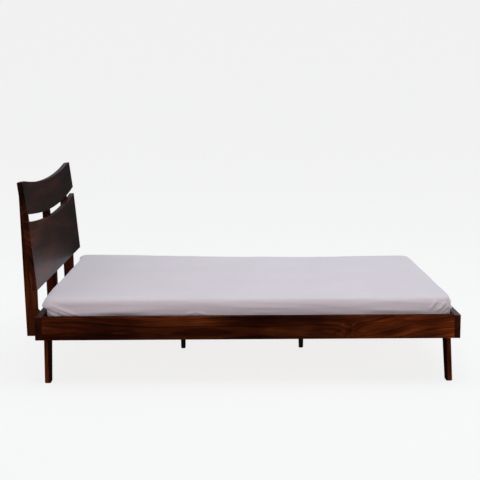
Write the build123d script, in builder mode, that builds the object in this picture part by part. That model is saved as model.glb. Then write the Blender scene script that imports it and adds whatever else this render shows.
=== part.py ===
from build123d import *
from math import cos, radians, sin, tan
import os

# Platform bed: a low frame of four rails on short legs, a reclined headboard of two wide
# boards on three stiles, slats on ledgers and a centre beam, and a loose mattress in a
# fitted sheet.
#
# Frame: +X runs from the headboard to the foot, +Y is the left of a person lying on the
# bed, +Z is up. The origin is the middle of the whole bed's box, on the floor.
# Sizes are in millimetres.

# ---------------------------------------------------------------- driving dimensions

frame_width = 1420  # over the side rails' outer faces
frame_length = 2062  # over the cross rails' outer faces
floor_clearance = 218  # floor to the rails' undersides
rail_height = 116
side_rail_thickness = 24
head_rail_thickness = 34
foot_rail_thickness = 30
rail_edge_round = 2.5

# Headboard, in distances behind (-) or ahead (+) of the head rail's rear face
board_thickness = 28
board_edge_round = 3
lower_board_front = 19  # lower board's bottom front edge
lower_board_bottom = 463
lower_board_top_end = 800  # top edge at both ends
lower_board_top_middle = 755  # top edge at mid width
bend_height = 815  # where the recline grows, in the gap between the boards
lower_recline = 5.3  # degrees from upright
crest_recline = 7.2
crest_bottom_end = 835
crest_bottom_middle = 793
crest_top_end = 988
crest_top_middle = 950
crest_level_tip = 55  # level stretch of the crest's top edge at each end

stile_width = 57
stile_inset = 97  # frame's outer face to a side stile
stile_foot_depth = 57  # back face behind the head rail, at the stile's foot
stile_relief = 8  # how far the front steps back above its seat on the rail
rear_reach = 76  # back face behind the head rail, at the side stiles' tops
side_stile_top = 950
centre_stile_top = 920
stile_step_rise = 2  # rail's top to where the front steps back
stile_edge_chamfer = 1.5

# Legs
leg_thickness = 31
leg_depth = 60
leg_foot_thickness = 30
leg_foot_depth = 45
leg_edge_round = 3
leg_side_splay = 6  # how far a foot stands out from its leg's top, sideways
head_leg_gap = 4.5  # head rail's inner face to the leg
head_leg_splay = 1.4  # towards the headboard
foot_leg_gap = 11
foot_leg_splay = 11
glide_height = 4
glide_inset = 2  # leg's foot to its glide, all round
glide_edge_round = 1
centre_leg_width = 32
centre_leg_foot_width = 24
centre_leg_spots = (682, 1334)  # behind the head rail's rear face, towards the foot

# Bed deck
slat_count = 14
slat_width = 80
slat_thickness = 18
slat_edge_round = 2
slat_end_gap = 6  # end slats to the cross rails
slat_side_gap = 3
slat_drop = 46  # rail tops down to the slats' tops
ledger_width = 26
ledger_height = 34
ledger_leg_gap = 2
beam_width = 40
beam_height = 46
beam_end_gap = 0.5
deck_chamfer = 1  # long edges of the ledgers and the beam
hanger_steel = 2
hanger_reach = 40
hanger_flange = 24
hanger_drop = 1  # slats' undersides to a hanger's top
hanger_side_gap = 0.3
hanger_screw_edge = 12  # beam's top or bottom to a hanger's screws

# Mattress in its sheet
mattress_length = 1984
mattress_width = 1366
mattress_height = 122
mattress_corner = 55  # plan radius
mattress_roll = 24  # radius of the top and bottom edges
sheet_thickness = 1.2
sheet_tuck = 110  # how far the sheet turns in under the mattress
core_gap = 0.2  # sheet's inside to the core
rest_gap = 0.4  # loose pieces stand this clear of what they rest on

# Hardware
bolt_diameter = 8
bolt_clearance = 0.3
bolt_head_diameter = 15
bolt_head_height = 4.4
bolt_head_round = 3
bolt_end_chamfer = 1
bolt_pocket_diameter = 18
bolt_pocket_depth = 7
hex_socket_radius = 2.9
hex_socket_depth = 2.6
rail_bolt_length = 70
rail_bolt_bore = 55  # depth of the bolt's hole in a side rail's end
rail_bolt_spread = 64  # between the two bolts of a corner
barrel_nut_diameter = 10
barrel_nut_length = 14
barrel_nut_setback = 32  # from the side rail's end
barrel_nut_end_gap = 0.5
dowel_diameter = 10
dowel_length = 36
dowel_end_gap = 1
dowel_chamfer = 1
insert_diameter = 12
insert_length = 14
insert_end_gap = 1  # wood left open past an insert
leg_bolt_length = 58
leg_bolt_pocket_diameter = 17
leg_bolt_pocket_depth = 13
stile_bolt_heights = (250, 302)
stile_pocket_depth = 4
stile_washer_diameter = 17
stile_washer_thickness = 1.6
screw_diameter = 4
screw_head_diameter = 8
screw_head_clearance = 0.3
screw_clearance = 0.1
screw_point = 5  # length of the tapered tip
screw_end_gap = 1  # wood left open past a screw's tip
screw_sink = 0.2  # slats' tops down to their screws
driver_slot_length = 4.4
driver_slot_width = 1
driver_slot_depth = 1.2
slat_screw_length = 40
slat_screw_bore = 24  # depth of the holes under the slats
ledger_screw_length = 42
hanger_screw_length = 22
pan_head_height = 2.5
pan_head_round = 1.6
board_screw_length = 48
board_screw_seat = 30  # stile wood between the lower board and its screws' heads
board_screw_heights = (505, 620, 730)
crest_screw_length = 32
crest_screw_seat = 14
side_crest_heights = (852, 920)
centre_crest_heights = (826, 892)
stud_length = 60
stud_bore = 32  # in the beam and in a centre leg
tool_reach = 60  # how far a counterbore runs on out of the wood

# ------------------------------------------------------------------ derived dimensions

head_face = (rear_reach - frame_length) / 2  # x of the head rail's rear face
foot_face = head_face + frame_length
side_face = frame_width / 2
head_inner = head_face + head_rail_thickness
foot_inner = foot_face - foot_rail_thickness
side_inner = side_face - side_rail_thickness
deck_length = foot_inner - head_inner
deck_middle = (head_inner + foot_inner) / 2
rail_top = floor_clearance + rail_height
rail_middle = floor_clearance + rail_height / 2
slat_top = rail_top - slat_drop
slat_bottom = slat_top - slat_thickness
beam_bottom = slat_bottom - beam_height
rail_bolt_heights = [rail_middle - rail_bolt_spread / 2, rail_middle + rail_bolt_spread / 2]
rail_bolt_y = side_face - side_rail_thickness / 2

head_leg_x = head_inner + head_leg_gap + leg_thickness / 2
foot_leg_x = foot_inner - foot_leg_gap - leg_thickness / 2
leg_y = side_inner - leg_depth / 2
foot_pad_y = side_inner + leg_side_splay - leg_foot_depth / 2
leg_rail_bolts = ((-7, -13), (7, 13))  # x and z from the middle of a leg's joint
leg_joint_middle = (floor_clearance + slat_bottom) / 2

ledger_y = side_inner - ledger_width / 2
ledger_z = slat_bottom - ledger_height / 2
ledger_start = head_leg_x + leg_thickness / 2 + ledger_leg_gap
ledger_end = foot_leg_x - leg_thickness / 2 - ledger_leg_gap
slat_pitch = (deck_length - 2 * slat_end_gap - slat_width) / (slat_count - 1)
slat_first_x = head_inner + slat_end_gap + slat_width / 2
slat_xs = [slat_first_x + slat_pitch * number for number in range(slat_count)]
ledger_screw_xs = [slat_xs[number] + slat_pitch / 2 for number in range(0, slat_count - 1, 2)]
centre_leg_xs = [head_face + spot for spot in centre_leg_spots]
stile_ys = {
    "left": side_face - stile_inset - stile_width / 2,
    "centre": 0,
    "right": -side_face + stile_inset + stile_width / 2,
}

mattress_bottom = slat_top + rest_gap
screw_head_depth = (screw_head_diameter - screw_diameter) / 2

os.makedirs("parts", exist_ok=True)


def save(piece, name):
    """Label a finished piece and write it to its own file."""
    piece.part.label = name
    export_step(piece.part, f"parts/{name}.step")


def bore(plane, points, radius, depth):
    """Drill round holes into the part being built, against the plane's normal."""
    with BuildSketch(plane) as circles:
        with Locations(*points):
            Circle(radius)
    extrude(circles.sketch, amount=-depth, mode=Mode.SUBTRACT)


# -------------------------------------------------------------------- headboard planes


def recline_plane(x, z, degrees):
    """Plane of a board's front face: local x is +Y, local y climbs the board."""
    lean = radians(degrees)
    return Plane(origin=(x, 0, z), x_dir=(0, 1, 0), z_dir=(cos(lean), 0, sin(lean)))


bend_front = head_face + lower_board_front
bend_front -= tan(radians(lower_recline)) * (bend_height - lower_board_bottom)
lower_front_plane = recline_plane(bend_front, bend_height, lower_recline)
crest_front_plane = recline_plane(bend_front, bend_height, crest_recline)
lower_back_plane = lower_front_plane.offset(-board_thickness)
crest_back_plane = crest_front_plane.offset(-board_thickness)


def lower_climb(height):
    """Distance up the lower board's face, from the bend, of a height above the floor."""
    return (height - bend_height) / cos(radians(lower_recline))


def crest_climb(height):
    """The same on the crest board's face."""
    return (height - bend_height) / cos(radians(crest_recline))


def lower_back_x(height):
    """x of the lower board's back face at a height."""
    reach = tan(radians(lower_recline)) * (height - bend_height)
    return bend_front - reach - board_thickness / cos(radians(lower_recline))


def crest_back_x(height):
    """x of the crest board's back face at a height."""
    reach = tan(radians(crest_recline)) * (height - bend_height)
    return bend_front - reach - board_thickness / cos(radians(crest_recline))


def stile_back_x(height):
    """x of a stile's straight back face at a height."""
    climb = (height - floor_clearance) / (side_stile_top - floor_clearance)
    return head_face - stile_foot_depth - (rear_reach - stile_foot_depth) * climb


# The two back faces meet on the line that halves the bend.
bend_half = radians((lower_recline + crest_recline) / 2)
bend_spread = radians((crest_recline - lower_recline) / 2)
bend_back_x = bend_front - board_thickness * cos(bend_half) / cos(bend_spread)
bend_back_z = bend_height - board_thickness * sin(bend_half) / cos(bend_spread)

# ------------------------------------------------------------------- fasteners, at rest
# Each stands on the XY plane with its head above it and its shank below.


def button_bolt(length):
    """Hexagon-socket bolt with a low domed head."""
    with BuildPart() as bolt:
        Cylinder(bolt_diameter / 2, length, align=(Align.CENTER, Align.CENTER, Align.MAX))
        chamfer(bolt.edges().sort_by(Axis.Z)[0], bolt_end_chamfer)
        Cylinder(
            bolt_head_diameter / 2,
            bolt_head_height,
            align=(Align.CENTER, Align.CENTER, Align.MIN),
        )
        fillet(bolt.edges().sort_by(Axis.Z)[-1], bolt_head_round)
        with BuildSketch(Plane.XY.offset(bolt_head_height)):
            RegularPolygon(hex_socket_radius, 6)
        extrude(amount=-hex_socket_depth, mode=Mode.SUBTRACT)
    return bolt.part


def flat_screw(length):
    """Wood screw with a countersunk head, flush with the XY plane."""
    with BuildPart() as screw:
        with BuildSketch(Plane.XZ):
            with BuildLine():
                Polyline(
                    (0, 0),
                    (screw_head_diameter / 2, 0),
                    (screw_diameter / 2, -screw_head_depth),
                    (screw_diameter / 2, -length + screw_point),
                    (0, -length),
                    close=True,
                )
            make_face()
        revolve(axis=Axis.Z)
        with BuildSketch(Plane.XY):
            Rectangle(driver_slot_length, driver_slot_width)
            Rectangle(driver_slot_width, driver_slot_length)
        extrude(amount=-driver_slot_depth, mode=Mode.SUBTRACT)
    return screw.part


def ring(outer, inner, length):
    """Washer, insert or sleeve that lies under the XY plane."""
    with BuildPart() as sleeve:
        with BuildSketch(Plane.XY):
            Circle(outer)
            Circle(inner, mode=Mode.SUBTRACT)
        extrude(amount=-length)
    return sleeve.part


def outward(x, y, z, direction):
    """Plane at a point of a face, with its normal pointing out of the wood."""
    return Plane(origin=(x, y, z), z_dir=direction)


screw_hole = screw_diameter / 2 + screw_clearance
countersink_radius = screw_head_diameter / 2 + screw_head_clearance
bolt_hole = bolt_diameter / 2 + bolt_clearance
dowel_hole = dowel_diameter / 2 + screw_clearance
dowel_bore = dowel_length / 2 + dowel_end_gap
insert_hole = insert_diameter / 2 + screw_clearance
insert_bore = insert_length + insert_end_gap
thread_hole = bolt_diameter / 2 + screw_clearance  # through inserts and barrel nuts
head_out = (-1, 0, 0)
foot_out = (1, 0, 0)

# ------------------------------------------------------------------------- cross rails

corner_points = [(y, z) for y in (-rail_bolt_y, rail_bolt_y) for z in rail_bolt_heights]
dowel_points = [(-rail_bolt_y, rail_middle), (rail_bolt_y, rail_middle)]
hanger_screw_y = beam_width / 2 + hanger_steel + hanger_flange / 2
hanger_screw_points = [
    (y, z)
    for y in (-hanger_screw_y, hanger_screw_y)
    for z in (beam_bottom + hanger_screw_edge, slat_bottom - hanger_screw_edge)
]
stile_bolt_points = [(y, z) for y in stile_ys.values() for z in stile_bolt_heights]

with BuildPart() as head_cross_rail:
    with Locations((head_face + head_rail_thickness / 2, 0, rail_middle)):
        Box(head_rail_thickness, frame_width, rail_height)
    fillet(head_cross_rail.edges(), rail_edge_round)
    # local y is +Z on both faces; local x is -Y on the rear one and +Y on the front one
    rear_face = Plane(origin=(head_face, 0, 0), x_dir=(0, -1, 0), z_dir=head_out)
    front_face = Plane(origin=(head_inner, 0, 0), x_dir=(0, 1, 0), z_dir=foot_out)
    bore(rear_face, [(-y, z) for y, z in corner_points], bolt_hole, head_rail_thickness)
    bore(
        rear_face,
        [(-y, z) for y, z in corner_points],
        bolt_pocket_diameter / 2,
        bolt_pocket_depth,
    )
    bore(rear_face, [(-y, z) for y, z in stile_bolt_points], insert_hole, insert_bore)
    bore(front_face, dowel_points, dowel_hole, dowel_bore)
    bore(front_face, hanger_screw_points, screw_hole, hanger_screw_length)
save(head_cross_rail, "head_cross_rail")

with BuildPart() as foot_cross_rail:
    with Locations((foot_face - foot_rail_thickness / 2, 0, rail_middle)):
        Box(foot_rail_thickness, frame_width, rail_height)
    fillet(foot_cross_rail.edges(), rail_edge_round)
    outer_face = Plane(origin=(foot_face, 0, 0), x_dir=(0, 1, 0), z_dir=foot_out)
    inner_face = Plane(origin=(foot_inner, 0, 0), x_dir=(0, -1, 0), z_dir=head_out)
    bore(outer_face, corner_points, bolt_hole, foot_rail_thickness)
    bore(outer_face, corner_points, bolt_pocket_diameter / 2, bolt_pocket_depth)
    bore(inner_face, dowel_points, dowel_hole, dowel_bore)
    bore(inner_face, hanger_screw_points, screw_hole, hanger_screw_length)
save(foot_cross_rail, "foot_cross_rail")

# -------------------------------------------------------------------------- side rails

leg_bolt_spots = {
    "head": [(head_leg_x + x, leg_joint_middle + z) for x, z in leg_rail_bolts],
    "foot": [(foot_leg_x - x, leg_joint_middle + z) for x, z in leg_rail_bolts],
}

for side_name, side in (("left", 1), ("right", -1)):
    with BuildPart() as side_rail:
        with Locations((deck_middle, side * rail_bolt_y, rail_middle)):
            Box(deck_length, side_rail_thickness, rail_height)
        fillet(side_rail.edges().filter_by(Axis.X), rail_edge_round)
        # local x is -X on the left rail's inner face and +X on the right one's
        inner_face = Plane(
            origin=(0, side * side_inner, 0), x_dir=(-side, 0, 0), z_dir=(0, -side, 0)
        )
        for end_x, way in ((head_inner, head_out), (foot_inner, foot_out)):
            end_face = Plane(origin=(end_x, side * rail_bolt_y, 0), x_dir=(0, 1, 0), z_dir=way)
            rise = 1 if end_face.y_dir.Z > 0 else -1
            bore(end_face, [(0, rise * z) for z in rail_bolt_heights], bolt_hole, rail_bolt_bore)
            bore(end_face, [(0, rise * rail_middle)], dowel_hole, dowel_bore)
        rise = 1 if inner_face.y_dir.Z > 0 else -1
        nut_xs = (head_inner + barrel_nut_setback, foot_inner - barrel_nut_setback)
        bore(
            inner_face,
            [(-side * x, rise * z) for x in nut_xs for z in rail_bolt_heights],
            barrel_nut_diameter / 2 + screw_clearance,
            side_rail_thickness / 2 + barrel_nut_length / 2 + barrel_nut_end_gap,
        )
        bore(
            inner_face,
            [(-side * x, rise * z) for end in leg_bolt_spots.values() for x, z in end],
            insert_hole,
            insert_bore,
        )
        bore(
            inner_face,
            [(-side * x, rise * ledger_z) for x in ledger_screw_xs],
            screw_hole,
            ledger_screw_length - ledger_width + screw_end_gap,
        )
    save(side_rail, f"side_rail_{side_name}")

# ------------------------------------------------------------ rail bolts, nuts, dowels

rail_bolt_places = []
for outer_x, way in ((head_face + bolt_pocket_depth, head_out), (foot_face - bolt_pocket_depth, foot_out)):
    rail_bolt_places += [outward(outer_x, y, z, way) for y, z in corner_points]

with BuildPart() as rail_bolts:
    with Locations(*rail_bolt_places):
        add(button_bolt(rail_bolt_length))
save(rail_bolts, "rail_bolts")

with BuildPart() as barrel_nut:
    Cylinder(barrel_nut_diameter / 2, barrel_nut_length, rotation=(90, 0, 0))
    Cylinder(
        thread_hole,
        barrel_nut_diameter * 2,
        rotation=(0, 90, 0),
        mode=Mode.SUBTRACT,
    )

with BuildPart() as rail_barrel_nuts:
    with Locations(
        *[
            (x, y, z)
            for x in (head_inner + barrel_nut_setback, foot_inner - barrel_nut_setback)
            for y, z in corner_points
        ]
    ):
        add(barrel_nut.part)
save(rail_barrel_nuts, "rail_barrel_nuts")

with BuildPart() as rail_dowel:
    Cylinder(dowel_diameter / 2, dowel_length, rotation=(0, 90, 0))
    chamfer(rail_dowel.edges(), dowel_chamfer)

with BuildPart() as rail_dowels:
    with Locations(*[(x, y, z) for x in (head_inner, foot_inner) for y, z in dowel_points]):
        add(rail_dowel.part)
save(rail_dowels, "rail_dowels")

# --------------------------------------------------------------------------- headboard

board_screw_points = [
    (y, lower_climb(height)) for y in stile_ys.values() for height in board_screw_heights
]
crest_screw_points = [
    (y, crest_climb(height))
    for name, y in stile_ys.items()
    for height in (centre_crest_heights if name == "centre" else side_crest_heights)
]

with BuildPart() as lower_board:
    with BuildSketch(lower_front_plane):
        with BuildLine():
            bottom = Line(
                (-side_face, lower_climb(lower_board_bottom)),
                (side_face, lower_climb(lower_board_bottom)),
            )
            top = ThreePointArc(
                (side_face, lower_climb(lower_board_top_end)),
                (0, lower_climb(lower_board_top_middle)),
                (-side_face, lower_climb(lower_board_top_end)),
            )
            Line(bottom @ 1, top @ 0)
            Line(top @ 1, bottom @ 0)
        make_face()
    extrude(amount=-board_thickness)
    fillet(lower_board.edges(), board_edge_round)
    bore(
        Plane(lower_back_plane.origin, x_dir=(0, 1, 0), z_dir=-lower_back_plane.z_dir),
        [(y, -climb) for y, climb in board_screw_points],
        screw_hole,
        board_screw_length - board_screw_seat + screw_end_gap,
    )
save(lower_board, "lower_board")

with BuildPart() as crest_board:
    with BuildSketch(crest_front_plane):
        with BuildLine():
            bottom = ThreePointArc(
                (-side_face, crest_climb(crest_bottom_end)),
                (0, crest_climb(crest_bottom_middle)),
                (side_face, crest_climb(crest_bottom_end)),
            )
            scoop_end = side_face - crest_level_tip
            Line(bottom @ 1, (side_face, crest_climb(crest_top_end)))
            Line((side_face, crest_climb(crest_top_end)), (scoop_end, crest_climb(crest_top_end)))
            ThreePointArc(
                (scoop_end, crest_climb(crest_top_end)),
                (0, crest_climb(crest_top_middle)),
                (-scoop_end, crest_climb(crest_top_end)),
            )
            Line((-scoop_end, crest_climb(crest_top_end)), (-side_face, crest_climb(crest_top_end)))
            Line((-side_face, crest_climb(crest_top_end)), bottom @ 0)
        make_face()
    extrude(amount=-board_thickness)
    fillet(crest_board.edges(), board_edge_round)
    bore(
        Plane(crest_back_plane.origin, x_dir=(0, 1, 0), z_dir=-crest_back_plane.z_dir),
        [(y, -climb) for y, climb in crest_screw_points],
        screw_hole,
        crest_screw_length - crest_screw_seat + screw_end_gap,
    )
save(crest_board, "crest_board")

stile_seat_x = head_face - stile_foot_depth + stile_pocket_depth  # bolt pockets' floors

for stile_name, stile_y in stile_ys.items():
    stile_top = centre_stile_top if stile_name == "centre" else side_stile_top
    crest_heights = centre_crest_heights if stile_name == "centre" else side_crest_heights
    with BuildPart() as stile:
        with BuildSketch(Plane.XZ.offset(-stile_y)):
            with BuildLine():
                Polyline(
                    (stile_back_x(floor_clearance), floor_clearance),
                    (head_face, floor_clearance),
                    (head_face, rail_top + stile_step_rise),
                    (head_face - stile_relief, rail_top + stile_step_rise + stile_relief),
                    (lower_back_x(lower_board_bottom), lower_board_bottom),
                    (bend_back_x, bend_back_z),
                    (crest_back_x(stile_top), stile_top),
                    (stile_back_x(stile_top), stile_top),
                    close=True,
                )
            make_face()
        extrude(amount=stile_width / 2, both=True)
        side_faces = stile.faces().filter_by(Axis.Y)
        chamfer(side_faces.edges(), stile_edge_chamfer)
        # bolts to the rail, in flat-bottomed pockets in the back face
        for height in stile_bolt_heights:
            pocket = outward(stile_seat_x, stile_y, height, head_out)
            bore(pocket, [(0, 0)], bolt_hole, stile_foot_depth)
            bore(pocket.offset(tool_reach), [(0, 0)], bolt_pocket_diameter / 2, tool_reach)
        # screws to the boards
        for heights, climb, plane, seat in (
            (board_screw_heights, lower_climb, lower_back_plane, board_screw_seat),
            (crest_heights, crest_climb, crest_back_plane, crest_screw_seat),
        ):
            rear = Plane(plane.offset(-seat).origin, x_dir=(0, 1, 0), z_dir=-plane.z_dir)
            spots = [(stile_y, -climb(height)) for height in heights]
            bore(rear, spots, screw_hole, seat + screw_head_clearance)
            bore(
                rear.offset(tool_reach),
                spots,
                screw_head_diameter / 2 + screw_head_clearance,
                tool_reach,
            )
    save(stile, f"stile_{stile_name}")


def board_screws(plane, seat, points, length):
    """Places of the screws that hold a board, driven from behind."""
    rear = Plane(plane.offset(-seat).origin, x_dir=(0, 1, 0), z_dir=-plane.z_dir)
    screw = flat_screw(length)
    with BuildPart() as screws:
        with Locations(*[rear * Location((y, -climb, screw_head_depth)) for y, climb in points]):
            add(screw)
    return screws


lower_board_screws = board_screws(
    lower_back_plane, board_screw_seat, board_screw_points, board_screw_length
)
save(lower_board_screws, "lower_board_screws")

crest_board_screws = board_screws(
    crest_back_plane, crest_screw_seat, crest_screw_points, crest_screw_length
)
save(crest_board_screws, "crest_board_screws")

# Bolts through the stiles into threaded inserts in the head rail
washer_face_x = stile_seat_x - stile_washer_thickness
stile_bolt_places = [outward(washer_face_x, y, z, head_out) for y, z in stile_bolt_points]

with BuildPart() as stile_bolts:
    with Locations(*stile_bolt_places):
        add(button_bolt(head_face - washer_face_x + insert_length))
save(stile_bolts, "stile_bolts")

with BuildPart() as stile_washers:
    with Locations(*stile_bolt_places):
        add(ring(stile_washer_diameter / 2, bolt_hole, stile_washer_thickness))
save(stile_washers, "stile_washers")

with BuildPart() as stile_inserts:
    with Locations(*[outward(head_face, y, z, head_out) for y, z in stile_bolt_points]):
        add(ring(insert_diameter / 2, thread_hole, insert_length))
save(stile_inserts, "stile_inserts")

# -------------------------------------------------------------------------------- legs

legs = (
    ("head_left", head_leg_x, -head_leg_splay, 1),
    ("head_right", head_leg_x, -head_leg_splay, -1),
    ("foot_left", foot_leg_x, foot_leg_splay, 1),
    ("foot_right", foot_leg_x, foot_leg_splay, -1),
)

for leg_name, leg_x, splay, side in legs:
    end_name = leg_name.split("_")[0]
    with BuildPart() as leg:
        with BuildSketch(Plane.XY.offset(floor_clearance)):
            with Locations((leg_x, side * leg_y)):
                RectangleRounded(leg_thickness, leg_depth, leg_edge_round)
        with BuildSketch(Plane.XY.offset(glide_height)):
            with Locations((leg_x + splay, side * foot_pad_y)):
                RectangleRounded(leg_foot_thickness, leg_foot_depth, leg_edge_round)
        loft()
        with BuildSketch(Plane.XY.offset(floor_clearance)):
            with Locations((leg_x, side * leg_y)):
                RectangleRounded(leg_thickness, leg_depth, leg_edge_round)
        extrude(amount=slat_bottom - floor_clearance)
        for bolt_x, bolt_z in leg_bolt_spots[end_name]:
            inner = outward(bolt_x, side * (side_inner - leg_depth), bolt_z, (0, -side, 0))
            bore(inner, [(0, 0)], bolt_hole, leg_depth)
            bore(inner, [(0, 0)], leg_bolt_pocket_diameter / 2, leg_bolt_pocket_depth)
    save(leg, f"leg_{leg_name}")

leg_bolt_places = []
leg_insert_places = []
for leg_name, _, _, side in legs:
    for bolt_x, bolt_z in leg_bolt_spots[leg_name.split("_")[0]]:
        seat_y = side * (side_inner - leg_depth + leg_bolt_pocket_depth)
        leg_bolt_places.append(outward(bolt_x, seat_y, bolt_z, (0, -side, 0)))
        leg_insert_places.append(outward(bolt_x, side * side_inner, bolt_z, (0, -side, 0)))

with BuildPart() as leg_bolts:
    with Locations(*leg_bolt_places):
        add(button_bolt(leg_bolt_length))
save(leg_bolts, "leg_bolts")

with BuildPart() as leg_inserts:
    with Locations(*leg_insert_places):
        add(ring(insert_diameter / 2, thread_hole, insert_length))
save(leg_inserts, "leg_inserts")

with BuildPart() as corner_leg_glides:
    with BuildSketch(Plane.XY):
        with Locations(*[(leg_x + splay, side * foot_pad_y) for _, leg_x, splay, side in legs]):
            RectangleRounded(
                leg_foot_thickness - 2 * glide_inset,
                leg_foot_depth - 2 * glide_inset,
                leg_edge_round,
            )
    extrude(amount=glide_height)
    fillet(corner_leg_glides.edges().group_by(Axis.Z)[0], glide_edge_round)
save(corner_leg_glides, "corner_leg_glides")

# -------------------------------------------------------------------------- bed deck

for side_name, side in (("left", 1), ("right", -1)):
    with BuildPart() as ledger:
        with Locations(((ledger_start + ledger_end) / 2, side * ledger_y, ledger_z)):
            Box(ledger_end - ledger_start, ledger_width, ledger_height)
        chamfer(ledger.edges().filter_by(Axis.X), deck_chamfer)
        slat_spots = [(x, side * ledger_y) for x in slat_xs]
        bore(Plane.XY.offset(slat_bottom), slat_spots, screw_hole, slat_screw_bore)
        for x in ledger_screw_xs:
            mouth = outward(x, side * (side_inner - ledger_width), ledger_z, (0, -side, 0))
            with Locations(mouth):
                CounterSinkHole(screw_hole, countersink_radius, ledger_width)
    save(ledger, f"ledger_{side_name}")

with BuildPart() as ledger_screws:
    with Locations(
        *[
            outward(x, side * (side_inner - ledger_width), ledger_z, (0, -side, 0))
            for x in ledger_screw_xs
            for side in (-1, 1)
        ]
    ):
        add(flat_screw(ledger_screw_length))
save(ledger_screws, "ledger_screws")

with BuildPart() as centre_beam:
    with Locations((deck_middle, 0, slat_bottom - beam_height / 2)):
        Box(deck_length - 2 * (hanger_steel + beam_end_gap), beam_width, beam_height)
    chamfer(centre_beam.edges().filter_by(Axis.X), deck_chamfer)
    bore(Plane.XY.offset(slat_bottom), [(x, 0) for x in slat_xs], screw_hole, slat_screw_bore)
    for x in centre_leg_xs:
        bore(outward(x, 0, beam_bottom, (0, 0, -1)), [(0, 0)], bolt_hole, stud_bore)
save(centre_beam, "centre_beam")

for end_name, wall_x, way in (("head", head_inner, 1), ("foot", foot_inner, -1)):
    plate_middle = wall_x + way * hanger_steel / 2
    arm_middle = wall_x + way * hanger_reach / 2
    hanger_middle = slat_bottom - hanger_drop - beam_height / 2
    cheek_y = beam_width / 2 + hanger_side_gap + hanger_steel / 2
    with BuildPart() as hanger:
        with Locations((plate_middle, 0, hanger_middle)):
            Box(hanger_steel, beam_width + 2 * (hanger_steel + hanger_flange), beam_height)
        for side in (-1, 1):
            with Locations((arm_middle, side * cheek_y, hanger_middle)):
                Box(hanger_reach, hanger_steel, beam_height)
        with Locations((arm_middle, 0, beam_bottom - hanger_steel / 2)):
            Box(hanger_reach, 2 * cheek_y + hanger_steel, hanger_steel)
        for y, z in hanger_screw_points:
            plate = outward(wall_x + way * hanger_steel, y, z, (way, 0, 0))
            bore(plate, [(0, 0)], screw_hole, 2 * hanger_steel)
    save(hanger, f"beam_hanger_{end_name}")

with BuildPart() as pan_screw:
    Cylinder(
        screw_diameter / 2,
        hanger_screw_length,
        align=(Align.CENTER, Align.CENTER, Align.MAX),
    )
    Cylinder(
        screw_head_diameter / 2,
        pan_head_height,
        align=(Align.CENTER, Align.CENTER, Align.MIN),
    )
    fillet(pan_screw.edges().sort_by(Axis.Z)[-1], pan_head_round)
    with BuildSketch(Plane.XY.offset(pan_head_height)):
        Rectangle(driver_slot_length, driver_slot_width)
        Rectangle(driver_slot_width, driver_slot_length)
    extrude(amount=-driver_slot_depth, mode=Mode.SUBTRACT)

with BuildPart() as hanger_screws:
    with Locations(
        *[
            outward(wall_x + way * hanger_steel, y, z, (way, 0, 0))
            for wall_x, way in ((head_inner, 1), (foot_inner, -1))
            for y, z in hanger_screw_points
        ]
    ):
        add(pan_screw.part)
save(hanger_screws, "hanger_screws")

slat_screw_ys = (-ledger_y, 0, ledger_y)

for number, slat_x in enumerate(slat_xs, start=1):
    with BuildPart() as slat:
        with Locations((slat_x, 0, slat_top - slat_thickness / 2)):
            Box(slat_width, 2 * (side_inner - slat_side_gap), slat_thickness)
        fillet(slat.edges().filter_by(Axis.Y), slat_edge_round)
        with Locations(*[(slat_x, y, slat_top) for y in slat_screw_ys]):
            CounterSinkHole(screw_hole, countersink_radius, slat_thickness)
    save(slat, f"slat_{number:02d}")

with BuildPart() as slat_screws:
    with Locations(*[(x, y, slat_top - screw_sink) for x in slat_xs for y in slat_screw_ys]):
        add(flat_screw(slat_screw_length))
save(slat_screws, "slat_screws")

for end_name, leg_x in zip(("head", "foot"), centre_leg_xs):
    with BuildPart() as centre_leg:
        with BuildSketch(Plane.XY.offset(beam_bottom)):
            with Locations((leg_x, 0)):
                RectangleRounded(centre_leg_width, centre_leg_width, leg_edge_round)
        with BuildSketch(Plane.XY.offset(glide_height)):
            with Locations((leg_x, 0)):
                RectangleRounded(centre_leg_foot_width, centre_leg_foot_width, leg_edge_round)
        loft()
        bore(outward(leg_x, 0, beam_bottom, (0, 0, 1)), [(0, 0)], bolt_hole, stud_bore)
    save(centre_leg, f"centre_leg_{end_name}")

with BuildPart() as centre_leg_studs:
    with Locations(*[(x, 0, beam_bottom) for x in centre_leg_xs]):
        Cylinder(bolt_diameter / 2, stud_length)
save(centre_leg_studs, "centre_leg_studs")

with BuildPart() as centre_leg_glides:
    with BuildSketch(Plane.XY):
        with Locations(*[(x, 0) for x in centre_leg_xs]):
            Circle(centre_leg_foot_width / 2 - glide_inset)
    extrude(amount=glide_height)
    fillet(centre_leg_glides.edges().group_by(Axis.Z)[0], glide_edge_round)
save(centre_leg_glides, "centre_leg_glides")

# ------------------------------------------------------------------ mattress and sheet


def mattress_block(inset):
    """The mattress's rounded block, smaller all over by an inset."""
    with BuildPart() as block:
        with BuildSketch(Plane.XY.offset(mattress_bottom + inset)):
            with Locations((deck_middle, 0)):
                RectangleRounded(
                    mattress_length - 2 * inset,
                    mattress_width - 2 * inset,
                    mattress_corner - inset,
                )
        extrude(amount=mattress_height - 2 * inset)
        fillet(block.edges().group_by(Axis.Z)[-1], mattress_roll - inset)
        fillet(block.edges().group_by(Axis.Z)[0], mattress_roll - inset)
    return block.part


with BuildPart() as mattress_core:
    add(mattress_block(sheet_thickness + core_gap))
save(mattress_core, "mattress_core")

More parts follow.
